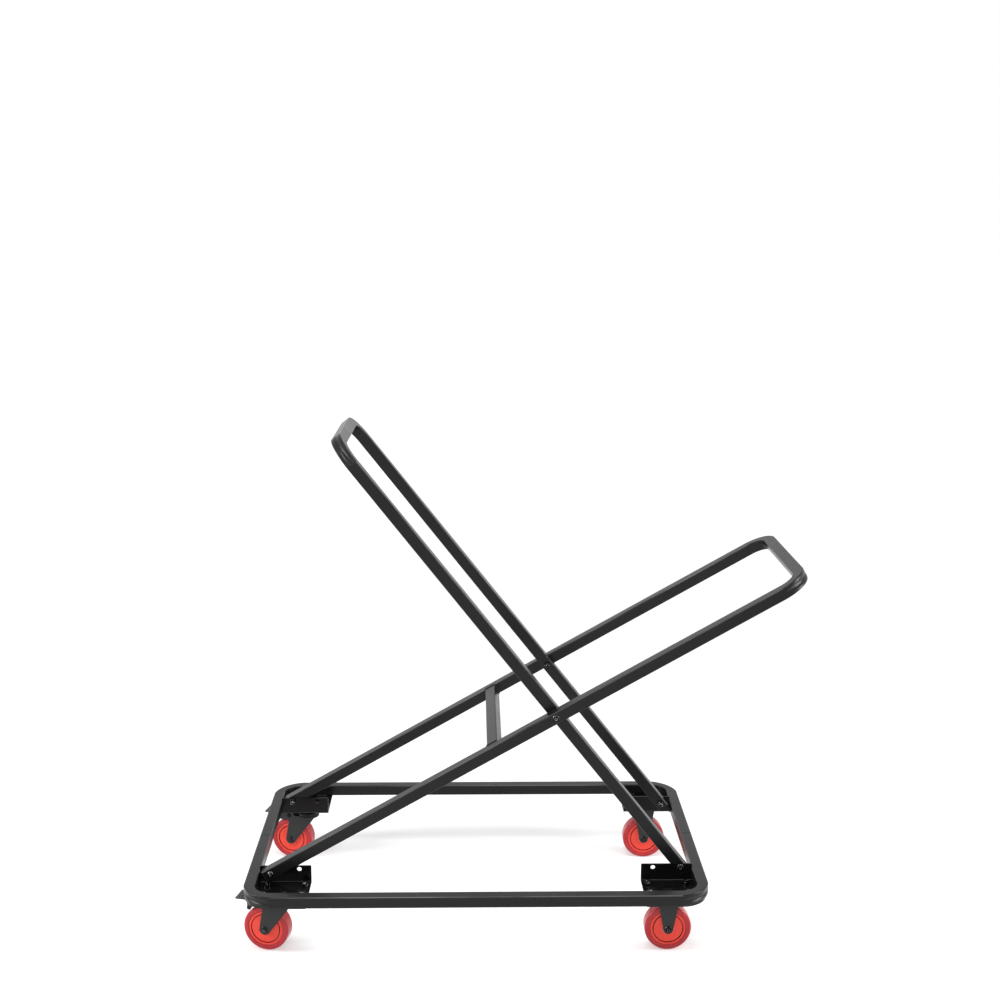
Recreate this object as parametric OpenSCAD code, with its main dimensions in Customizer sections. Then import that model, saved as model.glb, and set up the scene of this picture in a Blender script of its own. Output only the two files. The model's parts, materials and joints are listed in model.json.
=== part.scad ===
// Stacking chair trolley: a tube base on four casters with two crossed tube frames.
// X runs along the base towards the handle, Y across it, Z up from the floor.

/* [Tube] */
// Side of the square tube
tube = 25.4; // [20:0.1:32]
// Wall of the tube
tube_wall = 1.5; // [1:0.1:2.5]
// Radius of the tube's outer corners
tube_round = 2.6; // [2:0.1:4]
// Centre-line radius of every bend
bend_r = 50.8; // [42:0.1:70]
// Depth that the outer wall of a base bend is pushed in
base_crush = 4.5; // [2:0.1:6]
// Depth that the outer wall of a frame bend is pushed in
frame_crush = 2.5; // [1.5:0.1:5]
// Depth of the crease in the pushed-in wall
crease_depth = 3; // [1.5:0.1:4]
// Radius of the crease's rounded bottom
crease_r = 9; // [7:0.5:12]

/* [Base] */
// Length of the base over its tubes
base_l = 996; // [850:1:1300]
// Width of the base over its tubes
base_w = 630; // [560:1:800]
// Length of the sleeve inside each seam
sleeve_l = 90; // [50:1:140]

/* [Brackets] */
// Length of a bracket along the base
bracket_l = 112; // [105:1:140]
// Thickness of the bracket sheet
bracket_t = 3; // [2:0.1:4]
// Height of the upright flange above the plate
flange_h = 37.5; // [34:0.5:50]
// Clear distance between the front and rear flanges
flange_gap = 370; // [330:1:390]
// Distance between the two holes in a flange
flange_pitch = 60; // [50:1:75]
// Diameter of the spare hole in a flange
spare_d = 10; // [9.5:0.5:12]
// Height of the flange holes above the plate
flange_hole_h = 29.5; // [24:0.5:32]
// Distance of the plate's edge in from the outside of the base
plate_inset = 5.5; // [2:0.5:10]
// Inside radius of the fold
fold_r = 2; // [1:0.5:4]
// Radius of the flange's upper corners
flange_round = 2.5; // [1:0.5:5]
// Radius of the hole in the plate over a kingpin
relief_hole_r = 13; // [12.5:0.5:15]

/* [Frames] */
// Place of the crossing along the base, from its middle
pivot_x = 169; // [120:1:220]
// Height of the crossing above the floor
pivot_z = 516.3; // [440:0.1:600]
// Crossing to the outside of the handle
handle_reach = 612.5; // [480:0.5:760]
// Crossing to the top of the back frame
back_reach = 752; // [600:1:900]
// Tube left beyond the lower bolts
tube_tail = 12.5; // [11.5:0.5:14]
// Crossing down to the middle of the cross bar
cross_bar_drop = 150; // [90:1:260]

/* [End caps] */
// Thickness of an end cap's face
cap_face = 2.5; // [1.5:0.1:3.5]
// Length of its plug inside the tube
cap_plug = 6; // [4:0.5:8]

/* [Fasteners] */
// Diameter of the frame and caster bolts
bolt_d = 8; // [6:0.5:9]
// Diameter of a bolt head
head_d = 14; // [12:0.5:15]
// Height of a bolt head
head_h = 4.4; // [3.5:0.1:5]
// Hexagon key size
key_af = 5; // [4:0.5:6]
// Hexagon nut size across its flats
nut_af = 13; // [11:0.5:14]
// Height of a nut
nut_h = 6.5; // [5:0.1:7]
// Bolt left beyond a nut
bolt_tail = 2.5; // [1:0.5:4]

/* [Casters] */
// Height of a caster from the floor to the top of its plate
caster_h = 132; // [128:0.5:150]
// Distance of the caster's centre in from both outer faces of the base
caster_inset = 83.7; // [80:0.1:90]
// Length of a caster plate
plate_l = 104; // [100:1:108]
// Width of a caster plate
plate_w = 67; // [62:1:76]
// Thickness of a caster plate
plate_t = 3; // [2:0.1:4]
// Caster bolts, distance along the base
plate_pitch_l = 82; // [78:1:86]
// Caster bolts, distance across the base
plate_pitch_w = 45; // [40:1:50]
// Inside width of a fork
fork_gap = 37; // [35.5:0.5:40]
// Thickness of the fork sheet
fork_t = 3; // [2:0.1:4]
// Radius of a rigid fork's end round the axle
fork_end_r = 10.5; // [9.5:0.1:13]
// Half width of a rigid fork at its top
rigid_half = 27.5; // [24:0.5:31]

/* [Wheels] */
// Diameter of a wheel
wheel_d = 101.6; // [96:0.1:104]
// Width of the tread
tread_w = 32; // [28:0.5:33]
// Rounding of the tread's edges
tread_round = 5.2; // [3:0.1:7]
// Radius of the wheel core
core_r = 38.4; // [36:0.1:42]
// Depth of the core's face below the tread's side
core_inset = 0.6; // [0.2:0.1:1.5]
// Radius of the groove in the core's face
groove_r = 32.3; // [28:0.1:34]
// Width of the groove
groove_w = 1.8; // [1:0.1:2.5]
// Depth of the groove
groove_depth = 3; // [1:0.1:4]
// Outside radius of a bearing bush
bush_r = 10; // [9:0.1:12]
// Outside radius of the axle sleeve
axle_sleeve_r = 6; // [5:0.1:7.5]

/* [Swivel] */
// Kingpin to axle, measured level
trail = 39; // [34:0.5:42]
// Angle that the left casters are turned from straight back
swivel_turn = 14; // [0:1:30]
// Radius of the kingpin
kingpin_r = 6; // [5:0.1:7]
// Radius of the fork's round crown
crown_r = 27; // [26:0.5:29]
// Height of the fork's crown above the floor
crown_z = 112.5; // [110:0.5:114]
// Radius of a swivel fork's end round the axle
leg_end_r = 12.3; // [11:0.1:14]
// Kingpin forward to the tip of a swivel fork's leg
leg_front = 21; // [16:0.5:23]
// Lean of the leg's rear edge
leg_lean = 10.5; // [6:0.5:14]
// Radius between the leg's rear edge and the brake arm
leg_fillet = 6; // [4:0.5:8]
// Kingpin back to the bend in the leg
leg_bend = 14; // [12:0.5:18]
// Angle that the leg turns in at the bend
leg_toe = 9; // [4:0.5:9]
// Kingpin back to the rear edge of the crown sheet
crown_back = 38; // [34:0.5:40]
// Radius of the relief at the end of the crown's fold
relief_r = 4; // [2:0.5:4.5]
// Radius of a ball in the race
ball_r = 3.5; // [3:0.1:3.8]
// Radius of the ring of balls
ball_ring_r = 17; // [15.5:0.1:18]
// Number of balls
ball_count = 12; // [8:1:13]

/* [Brake] */
// Kingpin back to the brake pin
pin_back = 70; // [68:0.5:72]
// Height of the brake pin above the floor
pin_z = 109.5; // [108:0.5:110]
// Radius of the brake pin
pin_r = 3; // [2.5:0.1:3.5]
// Radius of the pedal's ears round the pin
pedal_ear_r = 7.5; // [6.5:0.1:8]
// Kingpin back to the tip of the pedal
pedal_reach = 106; // [100:1:116]
// Width of the pedal's foot pad
pedal_w = 41; // [40:1:50]
// Thickness of the pedal sheet
pedal_t = 2; // [2:0.1:3]
// Corner radius of the foot pad
pedal_round = 3; // [2:0.5:8]
// Kingpin back to the end of the webs under the foot pad
pedal_web = 85; // [84:1:98]
// Brake shoe's offset back from the pin
shoe_back = 5; // [4:0.1:6]
// Brake shoe's offset below the pin
shoe_drop = 13; // [12:0.1:13]
// Radius of the brake shoe
shoe_r = 3.5; // [3:0.1:3.6]

/* [Fits] */
// Gap round a shaft that turns
run_gap = 0.05; // [0.02:0.01:0.1]
// Gap between faces that pass each other
side_gap = 0.3; // [0.2:0.05:0.5]
// Gap round a pressed or threaded piece
fit_gap = 0.02; // [0.01:0.01:0.05]
// Gap round a bolt in its hole
hole_gap = 0.5; // [0.3:0.05:0.6]
// Gap round a plug or sleeve inside a tube
plug_gap = 0.15; // [0.05:0.05:0.3]

/* [Hidden] */
$fn = 64;
arc_steps = 12;
half = tube / 2;
least_round = 0.6;
bore_in = tube - 2 * tube_wall;
bore_round = max(tube_round - tube_wall, least_round);
plug_side = bore_in - 2 * plug_gap;
plug_round = least_round / 2;
bend_out = bend_r + half;
hole_r = bolt_d / 2 + hole_gap;
past = 1;
base_z = caster_h + bracket_t;
base_axis_z = base_z + half;

// Brackets: the flange's outer face meets the handle rails, its inner face the back legs
flange_out = flange_gap / 2 + bracket_t;
rail_y = flange_out + half;
leg_y = flange_gap / 2 - half;
pivot_grip = rail_y - leg_y + tube;
bracket_end = base_l / 2 - tube - 2 * side_gap;
bracket_x = bracket_end - bracket_l / 2;
bolt_x = bracket_x + flange_pitch / 2;
spare_x = bracket_x - flange_pitch / 2;
bolt_z = base_z + flange_hole_h;
plate_edge = base_w / 2 - plate_inset;
fold_out = fold_r + bracket_t;

// The two frames run from the outer bracket bolts through the crossing
rise = pivot_z - bolt_z;
handle_angle = atan2(rise, pivot_x + bolt_x);
back_angle = atan2(rise, bolt_x - pivot_x);
handle_low = norm([pivot_x + bolt_x, rise]);
back_low = norm([bolt_x - pivot_x, rise]);

// Fasteners: dome of a head, depth of its key socket, slope of a nut's chamfer
dome_drop = 0.36 * head_d;
socket_depth = 0.6 * head_h;
chamfer_slope = 0.6;
spacer_r = half - 1;

// Bends: the pushed-in wall and its crease are arcs through both ends of the bend, each set back
// from the bend's centre so that it lies a given depth inside the middle of the bend
function set_back(depth) = (2 * bend_out * depth - depth ^ 2) / (2 * (bend_out * (1 - cos(45)) - depth));
function pushed_r(depth) = bend_out - depth + set_back(depth);
bend_step = 0.1;
crush_spread = 10;
crush_round_to = 75;

// Casters
caster_x = base_l / 2 - caster_inset;
caster_y = base_w / 2 - caster_inset;
plate_under = caster_h - plate_t;
wheel_r = wheel_d / 2;
fork_in = fork_gap / 2;
fork_out = fork_in + fork_t;
fold_in = 2;
knee = fork_t + fold_in;
plate_round = 6;
rigid_top_r = 8;

// Wheels
hub_half = fork_in - 2 * side_gap;
core_half = tread_w / 2 - core_inset;
core_bevel = 0.8;
lip_r = core_inset + least_round;
bush_flange_r = bush_r + 2;
bush_flange_t = 1.5;
bush_l = 9;
hub_r = bush_flange_r + 2;
hub_taper = 1;

// Swivel: the plate's race hangs over the balls, which run on the crown
ball_z = crown_z + side_gap + ball_r;
race_under = ball_z + 0.3;
race_low = crown_z + 2 * side_gap;
race_r = crown_r - 1;
race_skirt = 3;
race_wall = 6;
race_bevel = 2;
neck_r = crown_r - 5;
neck_z = race_under + race_wall;
kingpin_head_r = kingpin_r + 4;
kingpin_head_h = 6;
leg_top = crown_z - fork_t / 2;

// Brake: the pedal's cheeks run inside the fork's arms, which rise beside the race
ear_r = pedal_ear_r + 0.5;
arm_low = pin_z - ear_r;
arm_top = plate_under - head_h - 2;
arm_front = crown_r + 1;
arm_slope = 5;
arm_back = pin_back - pedal_ear_r - 4.5;
pad_z = pin_z + pedal_ear_r;
pad_start = pin_back + ear_r + 3;
cheek_out = fork_in - side_gap;
shoe_boss_r = shoe_r + 1.5;
rivet_r = pin_r + 1.5;
rivet_h = 1.5;
rib_h = 0.8;
rib_w = 2;
rib_count = 3;

// The box round the whole trolley is centred on the origin
reach_min = -caster_x - ((pedal_reach - pedal_round) * cos(swivel_turn)
    + (pedal_w / 2 - pedal_round) * sin(swivel_turn) + pedal_round);
reach_max = pivot_x + (handle_reach - half) * cos(handle_angle)
    + (half - tube_round) * (cos(handle_angle) + sin(handle_angle)) + tube_round;
shift_x = -(reach_min + reach_max) / 2;

steel = "#26272a";
dark = "#1b1b1d";
zinc = "#8d8f92";
plastic = "#141415";
core_red = "#e2402f";
tread_red = "#a8323a";

FRAME_NODES = ["base_front_tube", "base_rear_tube", "base_joint_sleeves", "front_left_bracket",
    "front_right_bracket", "rear_left_bracket", "rear_right_bracket", "handle_frame",
    "handle_cross_bar", "back_frame", "handle_end_caps", "back_end_caps", "pivot_bolts",
    "pivot_nuts", "pivot_spacers", "bracket_bolts", "bracket_nuts", "caster_bolts", "caster_nuts"];
WHEEL_NODES = ["axle_bolt", "axle_nut", "axle_sleeve", "wheel_bushes", "wheel_core", "tread"];
SWIVEL_NODES = concat(["caster_plate", "swivel_balls", "kingpin", "fork"], WHEEL_NODES,
    ["brake_pedal", "brake_shoe", "brake_pin"]);
RIGID_NODES = concat(["fork"], WHEEL_NODES);

// Rounded square, as exact lines and arcs
module rounded_square(side, r) {
    square([side - 2 * r, side], center = true);
    square([side, side - 2 * r], center = true);
    for (sx = [-1, 1], sy = [-1, 1])
        translate([sx, sy] * (side / 2 - r)) circle(r);
}

// Straight bar of the tube's section along +X
module bar(side, r, length) {
    rotate([90, 0, 90]) linear_extrude(length) rounded_square(side, r);
}

// Ring segment round a centre that lies back along the middle of a bend
module set_back_ring(depth, spread) {
    shift = set_back(depth);
    half_angle = atan2(bend_out * sin(45), bend_out * cos(45) + shift) + spread;
    translate([-shift * cos(45), -shift * sin(45), 0])
        rotate(45 - half_angle) rotate_extrude(angle = 2 * half_angle) children();
}

// What is pushed in on the outside of one bend: all that lies past a wall with rounded corners
module crush(side, r, wall, depth) {
    wall_r = pushed_r(depth) - bend_step - wall;
    corner = [wall_r - r, side / 2 - r];
    upper = arc(corner, r, crush_round_to, 0);
    above = side / 2 + past - upper[0][1];
    end = [upper[0][0] - above * tan(crush_round_to), side / 2 + past];
    far = [wall_r + tube, side / 2 + past];
    edge = concat([far, end], upper);
    set_back_ring(depth, crush_spread)
        polygon(concat(edge, [for (i = [len(edge) - 1 : -1 : 0]) [edge[i][0], -edge[i][1]]]));
}

// Groove along the middle of the pushed-in wall
module crease(wall, depth) {
    set_back_ring(depth, 0) translate([pushed_r(depth) + crease_r, 0]) circle(crease_r + wall);
}

// U of bars in the XY plane: its bend end touches x = 0 and its legs run to -X
module u_bars(side, r, leg, width, push, wall, tail) {
    straight = width - 2 * bend_out;
    for (s = [-1, 1]) mirror([0, s < 0 ? 1 : 0, 0]) {
        translate([-leg - tail, width / 2 - half, 0]) bar(side, r, leg + tail - bend_out);
        translate([-bend_out, width / 2 - bend_out, 0]) difference() {
            rotate_extrude(angle = 90) translate([bend_r, 0]) rounded_square(side, r);
            crush(side, r, wall, push);
            crease(wall, push + crease_depth);
        }
    }
    translate([-half, -straight / 2, 0]) rotate(90) bar(side, r, straight);
}

// Hollow bent tube with open leg ends
module u_tube(leg, width, push) {
    difference() {
        u_bars(tube, tube_round, leg, width, push, 0, 0);
        u_bars(bore_in, bore_round, leg, width, push, tube_wall, past);
    }
}

module at_crossing() { translate([pivot_x, 0, pivot_z]) children(); }
module along_handle() { at_crossing() rotate([0, -handle_angle, 0]) children(); }
module along_back() { at_crossing() rotate([0, back_angle - 180, 0]) children(); }

// Turns +Z of a bolt, nut or spacer to -Y on the front side and +Y on the rear side
module both_sides() {
    for (s = [0, 1]) mirror([0, s, 0]) rotate([90, 0, 0]) children();
}

// Button head bolt: head below z = 0, shank up to the given length
module bolt(length) {
    shank_r = bolt_d / 2;
    difference() {
        union() {
            cylinder(r = shank_r, h = length);
            rotate_extrude() intersection() {
                translate([0, -head_h]) square([head_d / 2, head_h]);
                translate([0, dome_drop]) circle(head_h + dome_drop);
            }
        }
        translate([0, 0, -head_h - past])
            cylinder(d = key_af / cos(30), h = socket_depth + past, $fn = 6);
    }
}

// Hexagon nut standing on z = 0, with chamfered corners
module nut() {
    corner = nut_af / cos(30) / 2;
    flat_r = nut_af / 2;
    chamfer = (corner - flat_r) * chamfer_slope;
    difference() {
        intersection() {
            cylinder(r = corner, h = nut_h, $fn = 6);
            rotate_extrude() polygon([[0, 0], [flat_r, 0], [corner, chamfer],
                [corner, nut_h - chamfer], [flat_r, nut_h], [0, nut_h]]);
        }
        translate([0, 0, -past]) cylinder(r = bolt_d / 2 + fit_gap, h = nut_h + 2 * past);
    }
}

// Base
module base_half() {
    translate([0, -base_w / 2, base_axis_z]) rotate(-90) u_tube(base_w / 2, base_l, base_crush);
}
module base_front_tube() { color(steel) base_half(); }
module base_rear_tube() { color(steel) mirror([0, 1, 0]) base_half(); }
module base_joint_sleeves() {
    color(zinc) for (s = [-1, 1])
        translate([s * (base_l / 2 - half), -sleeve_l / 2, base_axis_z]) rotate(90) difference() {
            bar(plug_side, bore_round, sleeve_l);
            translate([-past, 0, 0]) bar(plug_side - 2 * tube_wall, plug_round, sleeve_l + 2 * past);
        }
}

// Folded bracket at the front right corner: plate under the tubes, flange upright inside them
module bracket_plate() {
    start = [bracket_end - bracket_l, -plate_edge, base_z - bracket_t];
    translate(start) cube([base_l / 2 - start[0], plate_edge - flange_gap / 2 - fold_out, bracket_t]);
    translate([bracket_end, -flange_gap / 2 - fold_out, base_z - bracket_t])
        cube([base_l / 2 - bracket_end, fold_out, bracket_t]);
}
module bracket_fold() {
    translate([bracket_end, -flange_gap / 2, base_z]) rotate([90, 0, -90]) linear_extrude(bracket_l)
        intersection() {
            translate([0, -bracket_t]) square(fold_out);
            translate([fold_out, fold_r]) difference() {
                circle(fold_out);
                circle(fold_r);
            }
        }
}
module bracket_flange() {
    height = flange_h - fold_r;
    translate([bracket_end - bracket_l, -flange_gap / 2, base_z + fold_r]) rotate([90, 0, 0])
        linear_extrude(bracket_t) {
            square([bracket_l, height - flange_round]);
            translate([flange_round, 0]) square([bracket_l - 2 * flange_round, height]);
            for (x = [flange_round, bracket_l - flange_round])
                translate([x, height - flange_round]) circle(flange_round);
        }
}
module bracket_holes() {
    translate([bolt_x, 0, bolt_z]) rotate([90, 0, 0]) cylinder(r = hole_r, h = base_w / 2);
    translate([spare_x, 0, bolt_z]) rotate([90, 0, 0]) cylinder(d = spare_d, h = base_w / 2);
    translate([caster_x, -caster_y, base_z - bracket_t - past]) {
        caster_pattern() cylinder(r = hole_r, h = bracket_t + 2 * past);
        cylinder(r = relief_hole_r, h = bracket_t + 2 * past);
    }
}
module corner_bracket() {
    color(dark) difference() {
        intersection() {
            union() {
                bracket_plate();
                bracket_fold();
                bracket_flange();
            }
            translate([0, 0, base_z - bracket_t - past]) {
                linear_extrude(flange_h + bracket_t + 2 * past) {
                    translate([base_l / 2 - bend_out, -base_w / 2 + bend_out])
                        circle(bend_out - plate_inset);
                    translate([0, -plate_edge])
                        square([base_l / 2 - bend_out, plate_edge]);
                    translate([0, -base_w / 2 + bend_out])
                        square([base_l / 2 - plate_inset, base_w / 2 - bend_out]);
                }
            }
        }
        bracket_holes();
    }
}
module front_right_bracket() { corner_bracket(); }
module front_left_bracket() { mirror([1, 0, 0]) corner_bracket(); }
module rear_right_bracket() { mirror([0, 1, 0]) corner_bracket(); }
module rear_left_bracket() { mirror([1, 0, 0]) mirror([0, 1, 0]) corner_bracket(); }

// Crossed frames
module cross_holes(width, low) {
    for (x = [0, -low]) translate([x, width / 2 + past, 0])
        rotate([90, 0, 0]) cylinder(r = hole_r, h = width + 2 * past);
}
module handle_frame() {
    width = 2 * rail_y + tube;
    color(steel) along_handle() difference() {
        translate([handle_reach, 0, 0]) u_tube(handle_reach + handle_low + tube_tail, width, frame_crush);
        cross_holes(width, handle_low);
    }
}
module handle_cross_bar() {
    span = 2 * flange_out;
    color(steel) along_handle() translate([-cross_bar_drop, -span / 2, 0]) rotate(90) difference() {
        bar(tube, tube_round, span);
        translate([-past, 0, 0]) bar(bore_in, bore_round, span + 2 * past);
    }
}
module back_frame() {
    width = 2 * leg_y + tube;
    color(steel) along_back() difference() {
        translate([back_reach, 0, 0]) u_tube(back_reach + back_low + tube_tail, width, frame_crush);
        cross_holes(width, back_low);
    }
}

// Plug with a face that covers the tube's end, facing -X
module end_cap() {
    color(plastic) {
        translate([-cap_face, 0, 0]) bar(tube, tube_round, cap_face);
        difference() {
            bar(plug_side, bore_round, cap_plug);
            bar(plug_side - 2 * tube_wall, plug_round, cap_plug + past);
        }
    }
}
module handle_end_caps() {
    along_handle() for (s = [-1, 1])
        translate([-handle_low - tube_tail, s * rail_y, 0]) end_cap();
}
module back_end_caps() {
    along_back() for (s = [-1, 1])
        translate([-back_low - tube_tail, s * leg_y, 0]) end_cap();
}

// Frame fasteners, worked out on the front side and mirrored to the rear
module pivot_bolts() {
    color(dark) at_crossing() both_sides() translate([0, 0, rail_y + half])
        mirror([0, 0, 1]) bolt(pivot_grip + nut_h + bolt_tail);
}
module pivot_nuts() {
    color(dark) at_crossing() both_sides() translate([0, 0, leg_y - half - nut_h]) nut();
}
module pivot_spacers() {
    color(plastic) at_crossing() both_sides() translate([0, 0, leg_y + half]) difference() {
        cylinder(r = spacer_r, h = bracket_t);
        translate([0, 0, -past]) cylinder(r = hole_r, h = bracket_t + 2 * past);
    }
}
module bracket_bolts() {
    length = tube + bracket_t + nut_h + bolt_tail;
    color(dark) both_sides() {
        translate([-bolt_x, bolt_z, rail_y + half]) mirror([0, 0, 1]) bolt(length);
        translate([bolt_x, bolt_z, flange_out]) mirror([0, 0, 1]) bolt(length);
    }
}
module bracket_nuts() {
    color(dark) both_sides() {
        translate([-bolt_x, bolt_z, flange_gap / 2 - nut_h]) nut();
        translate([bolt_x, bolt_z, leg_y - half - nut_h]) nut();
    }
}

// Casters
module caster_pattern() {
    for (sx = [-1, 1], sy = [-1, 1])
        translate([sx * plate_pitch_l / 2, sy * plate_pitch_w / 2, 0]) children();
}
module each_caster() {
    for (sx = [-1, 1], sy = [-1, 1]) translate([sx * caster_x, sy * caster_y, 0]) children();
}
module caster_bolts() {
    color(dark) each_caster() caster_pattern() translate([0, 0, plate_under])
        bolt(plate_t + bracket_t + nut_h + bolt_tail);
}
module caster_nuts() {
    color(dark) each_caster() caster_pattern() translate([0, 0, base_z]) nut();
}

// Mounting plate with rounded corners and its four holes
module mounting_plate() {
    inner = [plate_l, plate_w] / 2 - [plate_round, plate_round];
    translate([0, 0, plate_under]) linear_extrude(plate_t) difference() {
        union() {
            square([2 * inner[0], plate_w], center = true);
            square([plate_l, 2 * inner[1]], center = true);
            for (sx = [-1, 1], sy = [-1, 1])
                translate([sx * inner[0], sy * inner[1]]) circle(plate_round);
        }
        caster_pattern() circle(hole_r);
    }
}

// Side outline of a fork, extruded across both legs; drawn with x level and y up
module across_fork() {
    translate([0, fork_out + past, 0]) rotate([90, 0, 0])
        linear_extrude(2 * (fork_out + past)) children();
}

// Bore through both legs of a fork
module across_bore(x, z, r) {
    translate([x, 0, z]) rotate([90, 0, 0]) cylinder(r = r, h = 3 * fork_out, center = true);
}

// Folded channel under the plate, open at the bottom and running along X, with rounded folds
module channel() {
    top = plate_under;
    fold_y = fork_in - fold_in;
    translate([-plate_l / 2, 0, 0]) rotate([90, 0, 90]) linear_extrude(plate_l) difference() {
        union() {
            translate([-fork_out, 0]) square([2 * fork_out, top - knee]);
            translate([-fold_y, 0]) square([2 * fold_y, top]);
            for (s = [-1, 1]) translate([s * fold_y, top - knee]) circle(knee);
        }
        translate([-fork_in, -past]) square([2 * fork_in, top - knee + past]);
        translate([-fold_y, -past]) square([2 * fold_y, top - fork_t + past]);
        for (s = [-1, 1]) translate([s * fold_y, top - knee]) circle(fold_in);
    }
}

// Quadrilateral that joins two circles along their outer tangents
function tangent_points(a, ra, b, rb) =
    let (d = norm(b - a), t = atan2(b[1] - a[1], b[0] - a[0]), k = acos((ra - rb) / d))
    [a + ra * [cos(t + k), sin(t + k)], b + rb * [cos(t + k), sin(t + k)],
     b + rb * [cos(t - k), sin(t - k)], a + ra * [cos(t - k), sin(t - k)]];
module tangent_web(a, ra, b, rb) {
    polygon(tangent_points(a, ra, b, rb));
    translate(a) circle(ra);
    translate(b) circle(rb);
}

module rigid_fork() {
    top_x = rigid_half - rigid_top_r;
    top_z = caster_h + rigid_top_r;
    color(dark) {
        mounting_plate();
        difference() {
            intersection() {
                channel();
                across_fork() {
                    polygon([[0, wheel_r], [top_x, top_z], [-top_x, top_z]]);
                    for (side = [-1, 1])
                        tangent_web([0, wheel_r], fork_end_r, [side * top_x, top_z], rigid_top_r);
                }
            }
            across_bore(0, wheel_r, hole_r);
        }
    }
}

// Points along an arc, and the angle of the point where a line from p touches a circle
function arc(c, r, from, to) =
    [for (i = [0 : arc_steps]) let (a = from + (to - from) * i / arc_steps) c + r * [cos(a), sin(a)]];
function touch_angle(c, r, p, side) =
    atan2(p[1] - c[1], p[0] - c[0]) + side * acos(r / norm(p - c));

// Swivel caster, drawn with its kingpin on the Z axis and its wheel behind at -X
module leg_side() {
    axle = [-trail, wheel_r];
    pin = [-pin_back, pin_z];
    tip = [leg_front, leg_top];
    shoulder = [-arm_back, arm_top];
    along = (arm_low - leg_fillet - wheel_r - (leg_end_r + leg_fillet) * sin(leg_lean)) / cos(leg_lean);
    hollow = axle + (leg_end_r + leg_fillet) * [-cos(leg_lean), sin(leg_lean)]
        + along * [sin(leg_lean), cos(leg_lean)];
    polygon(concat(
        arc(axle, leg_end_r, 180 - leg_lean, 360 + touch_angle(axle, leg_end_r, tip, -1)),
        [tip, [-arm_front, leg_top], [-arm_front - arm_slope, arm_top], shoulder],
        arc(pin, ear_r, touch_angle(pin, ear_r, shoulder, 1), 270),
        arc(hollow, leg_fillet, 90, -leg_lean)));
}
module leg_plan() {
    front = leg_front + past;
    back = -pin_back - ear_r - past;
    turned = (front + leg_bend) * tan(leg_toe);
    inside = [[back, fork_in], [-leg_bend, fork_in], [front, fork_in - turned]];
    polygon(concat(inside, [for (i = [2 : -1 : 0]) inside[i] + [0, fork_t]]));
}
module fork() {
    color(dark) difference() {
        union() {
            for (s = [0, 1]) mirror([0, s, 0]) intersection() {
                linear_extrude(caster_h) leg_plan();
                across_fork() leg_side();
            }
            translate([0, 0, crown_z - fork_t]) linear_extrude(fork_t) {
                circle(crown_r);
                translate([-crown_back, -fork_out]) square([crown_back, 2 * fork_out]);
            }
        }
        translate([0, 0, crown_z - fork_t - past]) cylinder(r = kingpin_r + run_gap, h = fork_t + 2 * past);
        across_bore(-trail, wheel_r, hole_r);
        across_bore(-pin_back, pin_z, pin_r + fit_gap);
        across_bore(-crown_back - relief_r - side_gap, crown_z, relief_r);
    }
}
module caster_plate() {
    color(dark) difference() {
        union() {
            difference() {
                mounting_plate();
                translate([0, 0, plate_under - past])
                    cylinder(r = kingpin_r + fit_gap, h = plate_t + 2 * past);
            }
            rotate_extrude() polygon([[kingpin_r + fit_gap, race_under],
                [race_r - race_skirt, race_under], [race_r - race_skirt, race_low],
                [race_r, race_low], [race_r, neck_z - race_bevel], [race_r - race_bevel, neck_z],
                [neck_r, neck_z], [neck_r, plate_under], [kingpin_r + fit_gap, plate_under]]);
        }
        rotate_extrude() translate([ball_ring_r, ball_z]) circle(ball_r + fit_gap);
    }
}
module swivel_balls() {
    color(zinc) for (i = [0 : ball_count - 1]) rotate(i * 360 / ball_count)
        translate([ball_ring_r, 0, ball_z]) sphere(ball_r);
}
module kingpin() {
    head_top = crown_z - fork_t - side_gap;
    color(zinc) {
        translate([0, 0, head_top]) cylinder(r = kingpin_r, h = caster_h - head_top);
        translate([0, 0, head_top - kingpin_head_h]) cylinder(r = kingpin_head_r, h = kingpin_head_h);
    }
}

// Wheel pieces, drawn round the axle at the origin with the axle along Y
module axle_bolt() {
    color(dark) rotate([-90, 0, 0]) translate([0, 0, -fork_out])
        bolt(2 * fork_out + nut_h + bolt_tail);
}
module axle_nut() { color(dark) rotate([-90, 0, 0]) translate([0, 0, fork_out]) nut(); }
module axle_sleeve() {
    color(zinc) rotate([90, 0, 0]) difference() {
        cylinder(r = axle_sleeve_r, h = fork_gap, center = true);
        cylinder(r = bolt_d / 2 + fit_gap, h = fork_gap + 2 * past, center = true);
    }
}
module wheel_bushes() {
    inner = axle_sleeve_r + run_gap;
    color(zinc) rotate([90, 0, 0]) for (s = [0, 1]) mirror([0, 0, s]) rotate_extrude()
        polygon([[inner, hub_half - bush_l], [bush_r - fit_gap, hub_half - bush_l],
            [bush_r - fit_gap, hub_half - bush_flange_t], [bush_flange_r, hub_half - bush_flange_t],
            [bush_flange_r, hub_half], [inner, hub_half]]);
}
module wheel_core() {
    hub_side = hub_half - bush_flange_t - fit_gap;
    half_profile = [[bush_r, hub_side], [hub_r, hub_side], [hub_r + hub_taper, core_half],
        [groove_r - groove_w / 2, core_half], [groove_r - groove_w / 2, core_half - groove_depth],
        [groove_r + groove_w / 2, core_half - groove_depth], [groove_r + groove_w / 2, core_half],
        [core_r - core_bevel, core_half], [core_r, core_half - core_bevel]];
    color(core_red) rotate([90, 0, 0]) rotate_extrude()
        polygon(concat(half_profile, [for (i = [len(half_profile) - 1 : -1 : 0])
            [half_profile[i][0], -half_profile[i][1]]]));
}
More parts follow.
